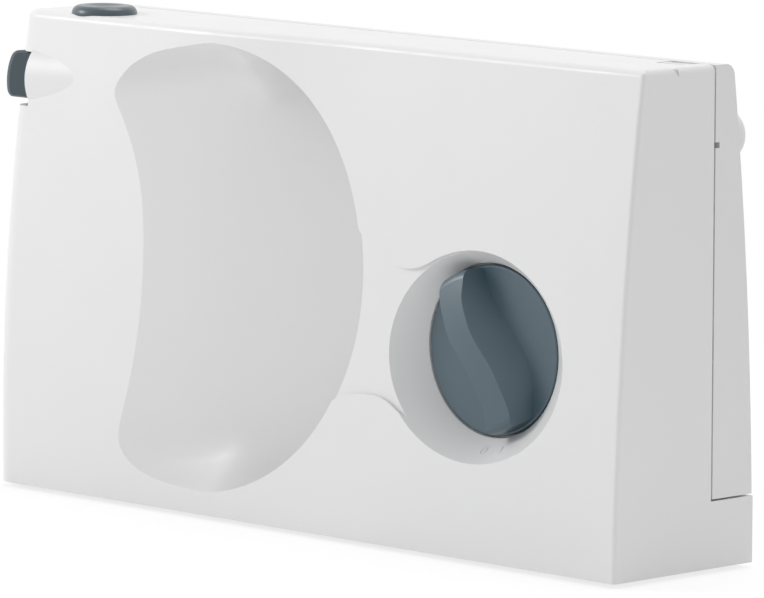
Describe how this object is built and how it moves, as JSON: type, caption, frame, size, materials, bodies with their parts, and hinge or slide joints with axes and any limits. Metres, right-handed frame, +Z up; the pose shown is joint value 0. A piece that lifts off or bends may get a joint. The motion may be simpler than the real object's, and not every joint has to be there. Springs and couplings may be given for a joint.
{
  "type": "folding food slicer",
  "caption": "Folding electric food slicer, stored shut: leaning motor housing with a bowl-shaped slice recess, a thickness dial and a fold-down food table.",
  "frame": {"origin": "middle of the overall box at the desk, under the feet", "axes": "+X towards the dial end, +Y from the slice recess to the folding table, +Z up"},
  "size_m": [0.3524, 0.0861, 0.2004],
  "materials": {
    "white_plastic": "fine satin moulding",
    "table_plastic": "fine satin moulding",
    "inner_plastic": "plain moulding",
    "black_plastic": "plain moulding",
    "dial_plastic": "satin blue-grey",
    "button_rubber": "satin blue-grey",
    "blade_steel": "ground disc",
    "steel": "turned",
    "zinc_steel": "zinc plated",
    "brass": "turned",
    "gear_plastic": "natural acetal",
    "ferrite": "sintered",
    "copper": "machined copper and laminations",
    "foot_rubber": "soft grip",
    "deck_steel": "brushed"
  },
  "bodies": {
    "housing": {"housing_shell": "white_plastic", "rear_wall": "white_plastic", "base_plate": "inner_plastic", "rubber_feet": "foot_rubber", "shell_screws": "zinc_steel", "base_screws": "zinc_steel", "bearing_bush": "brass", "motor_can": "zinc_steel", "motor_bearing": "brass", "motor_end_cap": "black_plastic", "motor_magnets": "ferrite", "brush_holders": "brass", "drive_bracket": "inner_plastic", "guide_bushes": "brass", "power_switch": "black_plastic", "side_switch": "black_plastic", "switch_carrier": "inner_plastic", "terminal_block": "gear_plastic", "cord_gland": "foot_rubber", "hinge_pins": "steel", "catch_tray": "inner_plastic", "power_spring": "steel", "side_spring": "steel"},
    "cutter": {"blade": "blade_steel", "blade_hub": "steel", "worm_wheel": "gear_plastic"},
    "cap": {"blade_cap": "dial_plastic"},
    "rotor": {"rotor_shaft": "steel", "rotor_stack": "copper", "worm": "steel"},
    "dial": {"thickness_knob": "dial_plastic", "thickness_drum": "inner_plastic", "drum_screw": "zinc_steel"},
    "gauge": {"gauge_plate": "white_plastic", "follower_pin": "steel", "gauge_rods": "steel"},
    "power_button": {"power_button": "button_rubber"},
    "side_button": {"side_button": "button_rubber"},
    "power_plunger": {"power_plunger": "gear_plastic"},
    "side_plunger": {"side_plunger": "gear_plastic"},
    "table": {"table_shell": "table_plastic", "table_deck": "deck_steel", "deck_screws": "zinc_steel", "table_pads": "foot_rubber"},
    "carriage": {"carriage_plate": "white_plastic", "carriage_fence": "white_plastic", "carriage_runner": "gear_plastic"},
    "catch": {"table_catch": "white_plastic"}
  },
  "joints": [
    {"name": "table_fold", "type": "hinge", "parent": "housing", "child": "table", "pos_m": [0.00425, 0.03383, 0.0094], "axis": [-1, 0, 0], "range_deg": [0, 90]},
    {"name": "carriage_slide", "type": "slide", "parent": "table", "child": "carriage", "axis": [-1, 0, 0], "range_m": [0, 0.176]},
    {"name": "thickness_turn", "type": "hinge", "parent": "housing", "child": "dial", "pos_m": [0.09665, -0.00117, 0.0822], "axis": [0, -1, 0], "range_deg": [0, 300]},
    {"name": "gauge_slide", "type": "slide", "parent": "housing", "child": "gauge", "axis": [0, -1, 0], "range_m": [0, 0.012]},
    {"name": "blade_spin", "type": "hinge", "parent": "housing", "child": "cutter", "pos_m": [-0.05325, -0.00117, 0.1], "axis": [0, 1, 0], "continuous": true},
    {"name": "motor_spin", "type": "hinge", "parent": "housing", "child": "rotor", "pos_m": [0.00425, -0.00916, 0.0725], "axis": [1, 0, 0], "continuous": true},
    {"name": "cap_turn", "type": "hinge", "parent": "cutter", "child": "cap", "pos_m": [-0.05325, -0.00117, 0.1], "axis": [0, 1, 0], "range_deg": [0, 60]},
    {"name": "power_press", "type": "slide", "parent": "housing", "child": "power_button", "axis": [0, 0, -1], "range_m": [0, 0.003], "stiffness_N_per_m": 500, "springref_m": -0.002, "deforming": ["power_spring"]},
    {"name": "side_press", "type": "slide", "parent": "housing", "child": "side_button", "axis": [1, 0, 0], "range_m": [0, 0.004], "stiffness_N_per_m": 400, "springref_m": -0.002},
    {"name": "power_plunge", "type": "slide", "parent": "housing", "child": "power_plunger", "axis": [0, 0, -1], "range_m": [0, 0.003]},
    {"name": "side_plunge", "type": "slide", "parent": "housing", "child": "side_plunger", "axis": [1, 0, 0], "range_m": [0, 0.004]},
    {"name": "catch_slide", "type": "slide", "parent": "housing", "child": "catch", "axis": [0, 1, 0], "range_m": [0, 0.0026]}
  ],
  "couplings": [
    {"joint": "thickness_turn", "follows": "gauge_slide", "rad_per_m": 436.33},
    {"joint": "motor_spin", "follows": "blade_spin", "ratio": 36},
    {"joint": "power_plunge", "follows": "power_press", "ratio": 1},
    {"joint": "side_plunge", "follows": "side_press", "ratio": 1}
  ]
}
